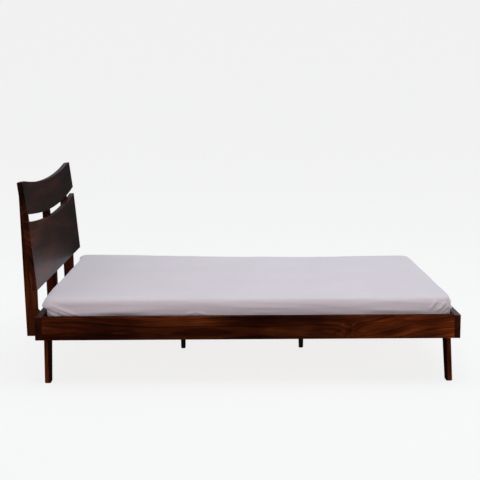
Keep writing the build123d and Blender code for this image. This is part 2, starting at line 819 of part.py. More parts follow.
with BuildPart() as fitted_sheet:
    add(mattress_block(0))
    add(mattress_block(sheet_thickness), mode=Mode.SUBTRACT)
    # the sheet stops a hand's width in from the edges underneath
    with BuildSketch(Plane.XY.offset(mattress_bottom)):
        with Locations((deck_middle, 0)):
            RectangleRounded(
                mattress_length - 2 * sheet_tuck,
                mattress_width - 2 * sheet_tuck,
                mattress_corner,
            )
    extrude(amount=2 * sheet_thickness, mode=Mode.SUBTRACT)
save(fitted_sheet, "fitted_sheet")
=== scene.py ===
from math import cos, exp, hypot, pi, sin

import bmesh
import bpy
from mathutils import Matrix, Vector, noise
from mathutils.bvhtree import BVHTree


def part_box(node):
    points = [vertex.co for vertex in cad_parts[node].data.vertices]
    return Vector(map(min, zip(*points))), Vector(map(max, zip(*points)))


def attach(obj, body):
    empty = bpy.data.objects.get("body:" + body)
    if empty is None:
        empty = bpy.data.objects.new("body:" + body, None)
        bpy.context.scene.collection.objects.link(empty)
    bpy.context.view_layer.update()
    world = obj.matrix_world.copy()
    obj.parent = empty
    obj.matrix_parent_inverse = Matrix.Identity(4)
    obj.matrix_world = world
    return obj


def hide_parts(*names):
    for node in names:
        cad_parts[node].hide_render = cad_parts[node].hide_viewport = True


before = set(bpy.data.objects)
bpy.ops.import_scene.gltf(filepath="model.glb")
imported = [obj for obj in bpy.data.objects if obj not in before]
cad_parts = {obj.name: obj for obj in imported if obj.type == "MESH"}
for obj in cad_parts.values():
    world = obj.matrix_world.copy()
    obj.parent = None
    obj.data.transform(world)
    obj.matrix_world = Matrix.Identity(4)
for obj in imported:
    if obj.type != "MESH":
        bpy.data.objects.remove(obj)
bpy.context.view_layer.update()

# Everything is in metres, in the CAD frame: +X to the foot, +Y to the sleeper's left, +Z up.
rail_low, rail_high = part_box("side_rail_right")
head_low, head_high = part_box("head_cross_rail")
foot_low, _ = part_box("foot_cross_rail")
sheet_low, sheet_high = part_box("fitted_sheet")
core_low, core_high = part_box("mattress_core")


# ------------------------------------------------------------------- node-tree helpers


def new_material(name):
    """Empty node material: returns it, its tree and its principled shader."""
    material = bpy.data.materials.new(name)
    material.use_nodes = True
    return material, material.node_tree, material.node_tree.nodes["Principled BSDF"]


def put(tree, socket, value):
    """Set a socket to a number, a colour, or the output of another node."""
    if isinstance(value, bpy.types.NodeSocket):
        tree.links.new(value, socket)
    else:
        socket.default_value = value


def math_node(tree, operation, first, second=None, clamp=False):
    node = tree.nodes.new("ShaderNodeMath")
    node.operation = operation
    node.use_clamp = clamp
    put(tree, node.inputs[0], first)
    if second is not None:
        put(tree, node.inputs[1], second)
    return node.outputs[0]


def combine(tree, x, y, z):
    node = tree.nodes.new("ShaderNodeCombineXYZ")
    for socket, value in zip(node.inputs, (x, y, z)):
        put(tree, socket, value)
    return node.outputs[0]


def noise_node(tree, vector, scale, detail=2.0, roughness=0.5, distortion=0.0):
    node = tree.nodes.new("ShaderNodeTexNoise")
    put(tree, node.inputs["Vector"], vector)
    node.inputs["Scale"].default_value = scale
    node.inputs["Detail"].default_value = detail
    node.inputs["Roughness"].default_value = roughness
    node.inputs["Distortion"].default_value = distortion
    return node.outputs["Fac"]


def span(tree, value, low, high, to_low, to_high, smooth=False):
    """Map a value from one range to another, clamped."""
    node = tree.nodes.new("ShaderNodeMapRange")
    node.interpolation_type = "SMOOTHSTEP" if smooth else "LINEAR"
    put(tree, node.inputs["Value"], value)
    for name, number in zip(("From Min", "From Max", "To Min", "To Max"), (low, high, to_low, to_high)):
        put(tree, node.inputs[name], number)
    return node.outputs["Result"]


def ramp(tree, value, stops):
    node = tree.nodes.new("ShaderNodeValToRGB")
    put(tree, node.inputs["Fac"], value)
    elements = node.color_ramp.elements
    while len(elements) < len(stops):
        elements.new(0.5)
    for element, (position, colour) in zip(elements, stops):
        element.position = position
        element.color = (*colour, 1)
    return node.outputs["Color"]


def mix_colour(tree, factor, first, second, blend="MIX"):
    node = tree.nodes.new("ShaderNodeMix")
    node.data_type = "RGBA"
    node.blend_type = blend
    sockets = [socket for socket in node.inputs if socket.type == "RGBA"]
    put(tree, node.inputs["Factor"], factor)
    for socket, value in zip(sockets, (first, second)):
        put(tree, socket, (*value, 1) if isinstance(value, tuple) else value)
    return [socket for socket in node.outputs if socket.type == "RGBA"][0]


def bump(tree, shader, height, strength, distance):
    node = tree.nodes.new("ShaderNodeBump")
    node.inputs["Strength"].default_value = strength
    node.inputs["Distance"].default_value = distance
    put(tree, node.inputs["Height"], height)
    tree.links.new(node.outputs["Normal"], shader.inputs["Normal"])


# --------------------------------------------------------------------------- materials


def grain_coordinates(tree, axis, seed):
    """Object coordinates as (along the grain, across, across), moved on by a seed."""
    place = tree.nodes.new("ShaderNodeTexCoord")
    split = tree.nodes.new("ShaderNodeSeparateXYZ")
    tree.links.new(place.outputs["Object"], split.inputs[0])
    order = {"X": (0, 1, 2), "Y": (1, 2, 0), "Z": (2, 0, 1)}[axis]
    along, wide, deep = [split.outputs[index] for index in order]
    return math_node(tree, "ADD", along, seed * 1.37), wide, deep


def end_grain(tree, axis):
    """1 on faces that cut across the grain, 0 along it."""
    place = tree.nodes.new("ShaderNodeTexCoord")
    split = tree.nodes.new("ShaderNodeSeparateXYZ")
    tree.links.new(place.outputs["Normal"], split.inputs[0])
    facing = math_node(tree, "ABSOLUTE", split.outputs["XYZ".index(axis)])
    return span(tree, facing, 0.7, 0.95, 0.0, 1.0)


def grain_noise(tree, along, wide, deep, stretch, fine, detail=2.0, roughness=0.5):
    """Noise drawn out along the grain: stretch and fine are cycles per metre along and across."""
    place = combine(
        tree,
        math_node(tree, "MULTIPLY", along, stretch),
        math_node(tree, "MULTIPLY", wide, fine),
        math_node(tree, "MULTIPLY", deep, fine),
    )
    return noise_node(tree, place, 1.0, detail, roughness)


def weighted(tree, parts):
    """Sum of (value, weight) pairs."""
    total = 0.0
    for value, weight in parts:
        total = math_node(tree, "ADD", total, math_node(tree, "MULTIPLY", value, weight))
    return total


def ring_noise(tree, along, radius, seed, stretch, fine, detail, roughness):
    """Noise that follows the rings: stretch and fine are cycles per metre along and across them."""
    place = combine(
        tree,
        math_node(tree, "MULTIPLY", along, stretch),
        math_node(tree, "MULTIPLY", radius, fine),
        seed,
    )
    return noise_node(tree, place, 1.0, detail, roughness)


end_gloss = 0.05  # the sawn ends are dull, even on the glossier pieces


def profile(tree, along, stops):
    """Brightness along the grain, from (position, level) pairs."""
    first, last = stops[0][0], stops[-1][0]
    highest = max(level for _, level in stops)
    grey = [((place - first) / (last - first), (level / highest,) * 3) for place, level in stops]
    level = ramp(tree, span(tree, along, first, last, 0.0, 1.0), grey)
    return math_node(tree, "MULTIPLY", level, highest)


def wood(
    name,
    axis,
    seed,
    stops,
    pith=(0.07, -0.05),
    tilt=0.02,
    swing=None,
    ring=0.0075,
    rough=0.36,
    gloss=0.02,
    coat=0.0,
    end=0.55,
    # shade darkens the whole piece: painted shade, for pieces whose faces get less light
    painted_shade=1.0,
    levels=None,
    painted_shade_band=None,
    knots=(),
):
    """Solid wood: growth rings about a tilted pith, wavering, with streaks, fibres and pores.

    swing is (from, to, amount): where along the grain the rings veer, and how far across.
    levels are (position along the grain, brightness) pairs, and knots (place, size) ones.
    The painted shade band is (lean, (x, brightness) pairs): painted light and shade across a leg that
    leans so much, dark where its side is in shadow and brighter on its lit face.
    """
    material, tree, shader = new_material(name)
    along, wide, deep = grain_coordinates(tree, axis, seed)
    plain = math_node(tree, "SUBTRACT", along, seed * 1.37)
    slow = grain_noise(tree, along, wide, deep, 1.1, 6.0, 3.0, 0.55)
    drift = noise_node(tree, combine(tree, along, seed * 0.7, 0.0), 1.1, 1.5)
    drift = math_node(tree, "SUBTRACT", drift, 0.5)
    wander = weighted(tree, ((drift, 0.05), (plain, tilt)))
    if swing:
        start, stop, amount = swing
        wander = math_node(tree, "ADD", wander, span(tree, plain, start, stop, 0.0, amount, smooth=True))
    from_pith = combine(
        tree,
        0.0,
        math_node(tree, "ADD", math_node(tree, "SUBTRACT", wide, pith[0]), 0.0 if axis == "X" else wander),
        math_node(tree, "ADD", math_node(tree, "SUBTRACT", deep, pith[1]), wander if axis == "X" else 0.0),
    )
    length = tree.nodes.new("ShaderNodeVectorMath")
    length.operation = "LENGTH"
    tree.links.new(from_pith, length.inputs[0])
    radius = weighted(tree, ((length.outputs["Value"], 1.0), (slow, 0.045)))
    heart = 0.0
    for spot, size in knots:
        place = tree.nodes.new("ShaderNodeTexCoord")
        ragged = tree.nodes.new("ShaderNodeTexNoise")
        ragged.inputs["Scale"].default_value = 22.0
        tree.links.new(place.outputs["Object"], ragged.inputs["Vector"])
        shift = tree.nodes.new("ShaderNodeVectorMath")
        shift.operation = "MULTIPLY_ADD"
        tree.links.new(ragged.outputs["Color"], shift.inputs[0])
        shift.inputs[1].default_value = (0.09, 0.0, 0.09)
        tree.links.new(place.outputs["Object"], shift.inputs[2])
        away = tree.nodes.new("ShaderNodeVectorMath")
        away.operation = "DISTANCE"
        tree.links.new(shift.outputs["Vector"], away.inputs[0])
        away.inputs[1].default_value = Vector(spot) + Vector((0.045, 0.0, 0.045))
        near = span(tree, away.outputs["Value"], 0.0, size, 1.0, 0.0, smooth=True)
        radius = math_node(tree, "ADD", radius, math_node(tree, "MULTIPLY", near, size * 0.16))
        heart = math_node(tree, "MAXIMUM", heart, span(tree, near, 0.8, 1.0, 0.0, 1.0))
    turns = math_node(tree, "FRACT", math_node(tree, "DIVIDE", radius, ring))
    grey = [(place, (level,) * 3) for place, level in ((0.0, 0.3), (0.15, 0.7), (0.65, 1.0), (0.92, 0.1))]
    rings = ramp(tree, turns, grey)
    fibres = grain_noise(tree, along, wide, deep, 8.0, 300.0, 3.0, 0.6)
    # streaks and bands follow the rings, so the figure veers with them
    streaks = ring_noise(tree, along, radius, seed, 1.5, 75.0, 3.0, 0.6)
    bands = ring_noise(tree, along, radius, seed, 2.0, 22.0, 2.0, 0.5)
    patches = grain_noise(tree, along, wide, deep, 3.2, 9.0, 2.0)
    tone = weighted(
        tree,
        (
            (rings, 0.10),
            (fibres, 0.26),
            (span(tree, streaks, 0.28, 0.72, 0.0, 1.0), 0.26),
            (span(tree, bands, 0.3, 0.7, 0.0, 1.0), 0.18),
            (span(tree, patches, 0.3, 0.7, 0.0, 1.0), 0.20),
        ),
    )
    colour = ramp(tree, tone, stops)
    pores = span(tree, grain_noise(tree, along, wide, deep, 45.0, 900.0, 1.0), 0.6, 0.72, 0.0, 1.0)
    light = math_node(tree, "SUBTRACT", painted_shade, math_node(tree, "MULTIPLY", pores, 0.4 * painted_shade))
    light = math_node(tree, "MULTIPLY", light, span(tree, end_grain(tree, axis), 0.0, 1.0, 1.0, end))
    if levels:
        light = math_node(tree, "MULTIPLY", light, profile(tree, plain, levels))
    # painted light and shade across the leg: dark where its side is in shadow, brighter where it is lit
    if painted_shade_band:
        place = tree.nodes.new("ShaderNodeTexCoord")
        split = tree.nodes.new("ShaderNodeSeparateXYZ")
        tree.links.new(place.outputs["Object"], split.inputs[0])
        across = weighted(tree, ((split.outputs[0], 1.0), (split.outputs[2], painted_shade_band[0])))
        light = math_node(tree, "MULTIPLY", light, profile(tree, across, painted_shade_band[1]))
    if knots:
        light = math_node(tree, "MULTIPLY", light, span(tree, heart, 0.0, 1.0, 1.0, 0.5))
    colour = mix_colour(tree, 1.0, colour, combine(tree, light, light, light), "MULTIPLY")
    tree.links.new(colour, shader.inputs["Base Color"])
    tree.links.new(span(tree, fibres, 0.2, 0.8, rough + 0.1, rough), shader.inputs["Roughness"])
    if gloss > end_gloss:
        gleam = span(tree, end_grain(tree, axis), 0.0, 1.0, gloss, end_gloss)
        tree.links.new(gleam, shader.inputs["Specular IOR Level"])
    else:  # dull all over, so it is a plain number, which the export keeps
        shader.inputs["Specular IOR Level"].default_value = gloss
    if coat:
        varnish = span(tree, end_grain(tree, axis), 0.0, 1.0, coat, 0.0)
        tree.links.new(varnish, shader.inputs["Coat Weight"])
    shader.inputs["Coat Roughness"].default_value = 0.25
    relief = math_node(tree, "SUBTRACT", math_node(tree, "MULTIPLY", fibres, 0.4), pores)
    bump(tree, shader, relief, 0.22, 0.0005)
    return material


rosewood_stops = (
    (0.24, (0.0060, 0.0010, 0.0003)),
    (0.42, (0.0210, 0.0031, 0.0006)),
    (0.58, (0.0460, 0.0076, 0.0014)),
    (0.80, (0.1100, 0.0235, 0.0045)),
)
flamed_stops = (
    (0.30, (0.0070, 0.0011, 0.0003)),
    (0.44, (0.0210, 0.0031, 0.0006)),
    (0.56, (0.0470, 0.0080, 0.0014)),
    (0.73, (0.1300, 0.0280, 0.0053)),
)
pale_stops = (
    (0.2, (0.30, 0.18, 0.09)),
    (0.5, (0.46, 0.31, 0.17)),
    (0.8, (0.60, 0.44, 0.27)),
)
# near black: painted shade for the centre legs, which stand in the shadow under the bed
painted_shade_stops = (
    (0.3, (0.004, 0.003, 0.0025)),
    (0.7, (0.012, 0.008, 0.006)),
)


def steel(name, colour, roughness, metallic):
    """Plated or painted steel with fine scuffs."""
    material, tree, shader = new_material(name)
    place = tree.nodes.new("ShaderNodeTexCoord")
    scuffs = noise_node(tree, place.outputs["Object"], 900.0, 3.0, 0.7)
    stains = noise_node(tree, place.outputs["Object"], 60.0, 2.0)
    dark = tuple(channel * 0.6 for channel in colour)
    tree.links.new(
        mix_colour(tree, span(tree, stains, 0.35, 0.65, 0.0, 1.0), dark, colour),
        shader.inputs["Base Color"],
    )
    worn = span(tree, scuffs, 0.3, 0.7, roughness - 0.08, roughness + 0.12)
    tree.links.new(worn, shader.inputs["Roughness"])
    shader.inputs["Metallic"].default_value = metallic
    bump(tree, shader, scuffs, 0.2, 0.0001)
    return material


def glide_plastic():
    material, tree, shader = new_material("glide_plastic")
    place = tree.nodes.new("ShaderNodeTexCoord")
    grain = noise_node(tree, place.outputs["Object"], 1500.0, 2.0)
    tree.links.new(
        mix_colour(tree, grain, (0.010, 0.009, 0.008), (0.022, 0.019, 0.017)),
        shader.inputs["Base Color"],
    )
    shader.inputs["Roughness"].default_value = 0.6
    bump(tree, shader, grain, 0.3, 0.0002)
    return material


def weave(tree, pitch):
    """Plain weave from object coordinates: a height, and which thread is on top."""
    place = tree.nodes.new("ShaderNodeTexCoord")
    split = tree.nodes.new("ShaderNodeSeparateXYZ")
    tree.links.new(place.outputs["Object"], split.inputs[0])
    turns = 2 * pi / pitch
    threads = []
    for first, second in ((0, 1), (1, 0)):
        run = math_node(tree, "MULTIPLY", split.outputs[first], turns)
        lift = math_node(tree, "ADD", split.outputs[second], split.outputs[2])
        over = math_node(tree, "MULTIPLY", lift, turns)
        threads.append(
            math_node(tree, "MULTIPLY", math_node(tree, "SINE", run), math_node(tree, "COSINE", over))
        )
    return math_node(tree, "MAXIMUM", threads[0], threads[1])


def cloth_material(name, dark, light, pitch, roughness, sheen, strength):
    """Woven cloth with slubs, a soft sheen and faint laundering tone changes."""
    material, tree, shader = new_material(name)
    place = tree.nodes.new("ShaderNodeTexCoord")
    threads = weave(tree, pitch)
    slubs = noise_node(tree, place.outputs["Object"], 260.0, 3.0, 0.6)
    clouds = noise_node(tree, place.outputs["Object"], 3.0, 2.0)
    tone = weighted(tree, ((slubs, 0.35), (clouds, 0.5)))
    tone = math_node(tree, "ADD", tone, math_node(tree, "MULTIPLY", threads, 0.12))
    tree.links.new(
        mix_colour(tree, span(tree, tone, 0.2, 0.75, 0.0, 1.0), dark, light), shader.inputs["Base Color"]
    )
    shader.inputs["Roughness"].default_value = roughness
    shader.inputs["Sheen Weight"].default_value = sheen
    shader.inputs["Sheen Roughness"].default_value = 0.4
    shader.inputs["Sheen Tint"].default_value = (0.80, 0.88, 1.0, 1)
    relief = weighted(tree, ((threads, 0.6), (slubs, 0.5)))
    bump(tree, shader, relief, strength, 0.0004)
    return material


def dress(name, material):
    """Give a CAD node its material."""
    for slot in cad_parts[name].material_slots:
        slot.material = material


leg_width = 0.031
foot_leg_lean = 0.05  # the foot legs' run outwards for each unit of drop


def dress_wood():
    rail_z = (rail_low.z + rail_high.z) / 2
    near_rail = dict(
        pith=(rail_low.y + 0.06, rail_z - 0.02),
        tilt=0.015,
        swing=(0.45, 1.1, -0.11),
        levels=(
            (-1.0, 1.0),
            (-0.68, 1.25),
            (-0.56, 0.72),
            (-0.38, 0.86),
            (0.02, 0.92),
            (0.38, 0.44),
            (0.66, 1.42),
            (1.05, 2.0),
        ),
        knots=(((0.52, rail_low.y, rail_z - 0.01), 0.075),),
    )
    far_rail = dict(pith=(rail_high.y, rail_z + 0.07))
    head_rail = dict(pith=(rail_z - 0.05, head_low.x - 0.06), end=0.6, gloss=0.3)
    foot_rail = dict(pith=(rail_z + 0.06, foot_low.x - 0.05), end=0.8, gloss=0.8, coat=0.5)
    # the boards face the foot, away from the light in front, so their low shade is painted shade
    board = dict(gloss=0.40, coat=0.14)
    # the lower board is brighter towards its near end: a painted highlight, light the board catches there
    near_end = ((-0.71, 1.9), (-0.3, 1.25), (0.1, 1.0), (0.71, 1.0))
    lower = dict(pith=(0.50, head_low.x - 0.15), painted_shade=0.62, end=0.7, levels=near_end, **board)
    crest = dict(pith=(0.95, head_low.x - 0.12), painted_shade=0.56, end=0.9, **board)
    leg_low, leg_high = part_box("leg_head_right")
    x = (leg_low.x + leg_high.x) / 2
    # the legs' sides in shadow are painted dark, and their lit faces painted brighter
    head_leg_painted_shade = (0.0, ((x - 0.016, 1.7), (x + 0.001, 1.6), (x + 0.005, 0.25)))
    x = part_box("leg_foot_right")[1].x - leg_width / 2
    foot_leg_painted_shade = (foot_leg_lean, ((x - 0.009, 0.2), (x - 0.004, 2.2), (x + 0.016, 2.2)))
    # node, grain axis, seed, and how it differs
    pieces = (
        ("side_rail_right", "X", 1.0, near_rail),
        ("side_rail_left", "X", 2.3, far_rail),
        ("head_cross_rail", "Y", 3.1, head_rail),
        ("foot_cross_rail", "Y", 4.7, foot_rail),
        ("lower_board", "Y", 5.2, lower),
        ("crest_board", "Y", 6.8, crest),
        ("stile_left", "Z", 7.1, dict(pith=(head_low.x + 0.03, 0.55))),
        ("stile_centre", "Z", 8.6, dict(pith=(head_low.x + 0.04, 0.06))),
        ("stile_right", "Z", 9.4, dict(pith=(head_low.x + 0.02, -0.50))),
        ("leg_head_left", "Z", 10.2, dict(pith=(head_high.x, 0.60))),
        ("leg_head_right", "Z", 11.9, dict(pith=(head_high.x, -0.60), painted_shade_band=head_leg_painted_shade)),
        ("leg_foot_left", "Z", 12.5, dict(pith=(foot_low.x, 0.60), painted_shade=0.7)),
        ("leg_foot_right", "Z", 13.3, dict(pith=(foot_low.x, -0.60), painted_shade_band=foot_leg_painted_shade)),
    )
    for name, axis, seed, ways in pieces:
        stops = flamed_stops if name.startswith("side_rail") else rosewood_stops
        dress(name, wood(f"{name}_wood", axis, seed, stops, **ways))
    # the centre legs are painted near black for the shade under the bed
    for name in ("centre_leg_head", "centre_leg_foot"):
        dress(name, wood(f"{name}_wood", "Z", 17.0, painted_shade_stops))
    for number in range(1, 15):
        pith = (0.22, 0.3 * sin(number))
        finish = wood(f"slat_{number:02d}_wood", "Y", 20 + number * 1.7, pale_stops, pith=pith, rough=0.55)
        dress(f"slat_{number:02d}", finish)
    for number, name in enumerate(("ledger_left", "ledger_right", "centre_beam", "rail_dowels")):
        dress(name, wood(f"{name}_wood", "X", 50 + number * 2.1, pale_stops, rough=0.55))


def dress_hardware():
    zinc = steel("zinc_steel", (0.56, 0.56, 0.54), 0.34, 1.0)
    bronzed = steel("bronzed_steel", (0.10, 0.07, 0.05), 0.38, 0.8)
    hanger = steel("hanger_paint", (0.02, 0.02, 0.02), 0.5, 0.0)
    glide = glide_plastic()
    for name in (
        "slat_screws",
        "ledger_screws",
        "hanger_screws",
        "lower_board_screws",
        "crest_board_screws",
        "rail_barrel_nuts",
        "stile_inserts",
        "leg_inserts",
        "centre_leg_studs",
    ):
        dress(name, zinc)
    for name in ("rail_bolts", "stile_bolts", "leg_bolts", "stile_washers"):
        dress(name, bronzed)
    for name in ("beam_hanger_head", "beam_hanger_foot"):
        dress(name, hanger)
    for name in ("corner_leg_glides", "centre_leg_glides"):
        dress(name, glide)


# ------------------------------------------------------------------ mattress and sheet

plan_corner = 0.055
top_roll = 0.026  # radius of the top edges
edge_roll = 0.024  # radius of the bottom ones
fine_step = 0.009
coarse_step = 0.018
fine_reach = 0.36  # the mesh is fine this far in from each end
tuck = 0.11  # how far the sheet turns in underneath


def smooth(value):
    """0 below 0, 1 above 1, and smooth between."""
    value = max(0.0, min(1.0, value))
    return value * value * (3 - 2 * value)


def bell(value, width):
    return exp(-((value / width) ** 2))


def graded(half):
    """Stations from -half to half, fine near both ends and coarser between."""
    ends = int(round(fine_reach / fine_step))
    middle = int(round(2 * (half - fine_reach) / coarse_step))
    stations = [-half + fine_step * index for index in range(ends)]
    first = -half + fine_reach
    stations += [first + 2 * (half - fine_reach) * index / middle for index in range(middle)]
    stations += [half - fine_reach + fine_step * index for index in range(ends)]
    return stations + [half]


def round_corner(x, y, half_x, half_y, radius):
    """Bend the square grid's corners onto a rounded rectangle."""
    over_x = abs(x) - (half_x - radius)
    over_y = abs(y) - (half_y - radius)
    if over_x <= 0 or over_y <= 0:
        return x, y
    a, b = over_x / radius, over_y / radius
    bent_x = half_x - radius + radius * a * (1 - b * b / 2) ** 0.5
    bent_y = half_y - radius + radius * b * (1 - a * a / 2) ** 0.5
    return (bent_x if x > 0 else -bent_x), (bent_y if y > 0 else -bent_y)


def outline_normal(x, y, half_x, half_y, radius):
    """Outward direction of the rounded rectangle at a point of its edge."""
    over_x = max(abs(x) - (half_x - radius), 0)
    over_y = max(abs(y) - (half_y - radius), 0)
    size = hypot(over_x, over_y) or 1.0
    return over_x / size * (1 if x > 0 else -1), over_y / size * (1 if y > 0 else -1)


def crown(x, y):
    """How far the top stands above its nominal height: full at the head, dished past the middle."""
    near_edge = 0.005 - 0.002 * (x + 0.6)
    foot = bell(x - 1.1, 0.45)
    inside = -0.007 + 0.023 * bell(x + 1.02, 0.8) + 0.0065 * foot + 0.007 * foot * bell(y, 0.45)
    share = smooth((y - sheet_low.y) / 0.20)
    return near_edge * (1 - share) + inside * share


def head_bow(y):
    """How far the head end swells over the rail."""
    return 0.004 + 0.004 * bell(y + 0.36, 0.2) + 0.014 * bell(y - 0.65, 0.07)


def foot_bow(y):
    return (0.0085 + 0.0045 * smooth((abs(y) - 0.2) / 0.4)) * smooth((y + 0.7) / 0.18)


def slab(name, low, high, inset, turned_in):
    """Rounded slab of quads. With a turn-in it is open underneath, past that."""
    half_x = (high.x - low.x) / 2 - inset
    half_y = (high.y - low.y) / 2 - inset
    middle_x, middle_y = (high.x + low.x) / 2, (high.y + low.y) / 2
    radius, roll, foot = plan_corner - inset, top_roll - inset, edge_roll - inset
    top, bottom = high.z - inset, low.z + inset
    steps = 8
    turns = [pi / 2 * i / steps for i in range(1, steps + 1)]
    # (how far the ring stands in from the outline, how far it lies below the top)
    rings = [(roll * (1 - sin(turn)), roll * (1 - cos(turn))) for turn in turns]
    rows = int(round((top - bottom - roll - foot) / fine_step))
    rings += [(0.0, roll + (top - bottom - roll - foot) * i / rows) for i in range(1, rows + 1)]
    steps = 5
    turns = [pi / 2 * i / steps for i in range(1, steps + 1)]
    rings += [(foot * (1 - cos(turn)), top - bottom - foot * (1 - sin(turn))) for turn in turns]
    if turned_in:
        rows = int(round((turned_in - foot) / fine_step))
        rings += [(foot + (turned_in - foot) * i / rows, top - bottom) for i in range(1, rows + 1)]
    mesh = bmesh.new()
    xs, ys = graded(half_x - roll), graded(half_y - roll)
    grid = []
    for x in xs:
        column = []
        for y in ys:
            px, py = round_corner(x, y, half_x - roll, half_y - roll, radius - roll)
            column.append(mesh.verts.new((middle_x + px, middle_y + py, top)))
        grid.append(column)
    for i in range(len(xs) - 1):
        for j in range(len(ys) - 1):
            mesh.faces.new((grid[i][j], grid[i + 1][j], grid[i + 1][j + 1], grid[i][j + 1]))
    edge = [grid[i][0] for i in range(len(xs) - 1)] + [grid[-1][j] for j in range(len(ys) - 1)]
    edge += [grid[i][-1] for i in range(len(xs) - 1, 0, -1)]
    edge += [grid[0][j] for j in range(len(ys) - 1, 0, -1)]
    previous = edge
    for stand_in, drop in rings:
        ring = []
        for vertex in edge:
            x, y = vertex.co.x - middle_x, vertex.co.y - middle_y
            nx, ny = outline_normal(x, y, half_x - roll, half_y - roll, radius - roll)
            if nx == 0 and ny == 0:
                on_long_edge = abs(abs(y) - (half_y - roll)) < 1e-6
                nx, ny = (0, 1 if y > 0 else -1) if on_long_edge else (1 if x > 0 else -1, 0)
            out = roll - stand_in
            if out < 0:  # under the slab the corners close in with the turn
                scale_x = (half_x - stand_in) / (half_x - roll)
                scale_y = (half_y - stand_in) / (half_y - roll)
                ring.append(mesh.verts.new((middle_x + x * scale_x, middle_y + y * scale_y, top - drop)))
            else:
                ring.append(mesh.verts.new((vertex.co.x + nx * out, vertex.co.y + ny * out, top - drop)))
        for index in range(len(edge)):
            after = (index + 1) % len(edge)
            mesh.faces.new((previous[index], ring[index], ring[after], previous[after]))
        previous = ring
    if not turned_in:
        under = {}
        for index, vertex in enumerate(edge):
            under[vertex] = previous[index]
        for column in grid:
            for vertex in column:
                if vertex not in under:
                    under[vertex] = mesh.verts.new((vertex.co.x, vertex.co.y, bottom))
        for i in range(len(xs) - 1):
            for j in range(len(ys) - 1):
                corners = (grid[i][j], grid[i][j + 1], grid[i + 1][j + 1], grid[i + 1][j])
                mesh.faces.new([under[vertex] for vertex in corners])
    bmesh.ops.recalc_face_normals(mesh, faces=mesh.faces)
    data = bpy.data.meshes.new(name)
    mesh.to_mesh(data)
    mesh.free()
    data.shade_smooth()
    piece = bpy.data.objects.new(name, data)
    bpy.context.scene.collection.objects.link(piece)
    return piece


def shape_slab(piece):
    """Crown the top, less and less down the sides, bow the two ends and draw in the lower corners."""
    height = sheet_high.z - sheet_low.z
    middle = (sheet_low.x + sheet_high.x) / 2
    half = (sheet_high.x - sheet_low.x) / 2
    for vertex in piece.data.vertices:
        x, y, z = vertex.co
        climb = max(0.0, (z - sheet_low.z) / height)
        vertex.co.z += crown(x, y) * climb
        near_end = smooth((abs(x - middle) - half + 0.16) / 0.16)
        above_rail = smooth((climb - 0.25) / 0.4)
        way = 1 if x > middle else -1
        bow = foot_bow(y) if way > 0 else head_bow(y)
        vertex.co.x += way * bow * near_end * above_rail
        corner = hypot(half - abs(x - middle), sheet_high.y - abs(y))
        drawn = 0.012 if way < 0 else 0.001
        drawn *= smooth((0.82 - climb) / 0.7) * smooth((0.17 - corner) / 0.15)
        vertex.co.x -= way * drawn
        vertex.co.y -= (1 if y > 0 else -1) * drawn * 0.5


def side_folds():
    """Ridges pulled into the sheet's sides, most of them by the tight corner pockets.

    Each is (corner, the way it runs, start, end, width, height): start and end are distances
    (from the corner, below the top).
    """
    head, foot = sheet_low.x, sheet_high.x
    right, left = sheet_low.y, sheet_high.y
    folds = [
        ((head, right), "x", (0.004, 0.028), (0.165, 0.094), 0.0080, 0.0065),
        ((head, right), "x", (0.030, 0.024), (0.185, 0.084), 0.0055, 0.0060),
        ((head, right), "x", (0.000, 0.052), (0.085, 0.094), 0.0070, 0.0050),
        ((head, right), "y", (0.000, 0.030), (0.110, 0.044), 0.0110, 0.0140),
        ((foot, right), "x", (0.076, 0.012), (0.114, 0.062), 0.0050, 0.0075),
        ((foot, right), "x", (0.030, 0.022), (0.078, 0.068), 0.0050, 0.0090),
        ((foot, right), "x", (0.010, 0.026), (0.050, 0.074), 0.0045, 0.0080),
        ((foot, right), "x", (-0.01, 0.040), (0.026, 0.080), 0.0045, 0.0070),
        ((foot, right), "y", (0.000, 0.040), (0.060, 0.064), 0.0060, 0.0045),
        ((head, right), "x", (0.690, 0.074), (0.735, 0.063), 0.0050, 0.0050),
        ((head, right), "x", (0.735, 0.063), (0.790, 0.074), 0.0050, 0.0050),
        ((head, right), "x", (0.250, 0.060), (0.560, 0.052), 0.0090, 0.0025),
        ((head, right), "x", (0.900, 0.040), (1.350, 0.046), 0.0080, 0.0022),
        ((head, right), "x", (1.000, 0.064), (1.300, 0.058), 0.0070, 0.0022),
        ((foot, right), "x", (0.130, 0.062), (0.420, 0.054), 0.0080, 0.0025),
    ]
    hidden = (((head, left), "x"), ((head, left), "y"), ((foot, left), "x"), ((foot, left), "y"))
    for number, (corner, way) in enumerate(hidden):
        for line in range(3):
            turn = sin(3.1 * number + 1.7 * line)
            start = (0.010, 0.022 + 0.018 * line + 0.005 * turn)
            end = (0.100 + 0.03 * turn, 0.066 + 0.014 * line)
            folds.append((corner, way, start, end, 0.006, 0.005))
    return folds


def fold_height(x, y, z, folds):
    """Sum of the folds at a point of the side."""
    total = 0.0
    for (corner_x, corner_y), way, start, end, width, height in folds:
        u = abs(x - corner_x) if way == "x" else abs(y - corner_y)
        aside = abs(y - corner_y) if way == "x" else abs(x - corner_x)
        if aside > plan_corner or u > end[0] + 0.03 or u < start[0] - 0.03:
            continue
        run, rise = end[0] - start[0], end[1] - start[1]
        size = hypot(run, rise)
        away_u, away_d = u - start[0], sheet_high.z - z - start[1]
        share = (away_u * run + away_d * rise) / size / size
        across = (away_d * run - away_u * rise) / size
        spread = width * (1.6 if across < 0 else 1.0)
        ridge = bell(across, spread) - 0.5 * bell(across - 1.9 * width, width)
        ends = smooth((share + 0.08) / 0.3) * smooth((1.08 - share) / 0.45)
        total += height * ridge * ends * smooth((plan_corner - aside) / 0.03)
    return total


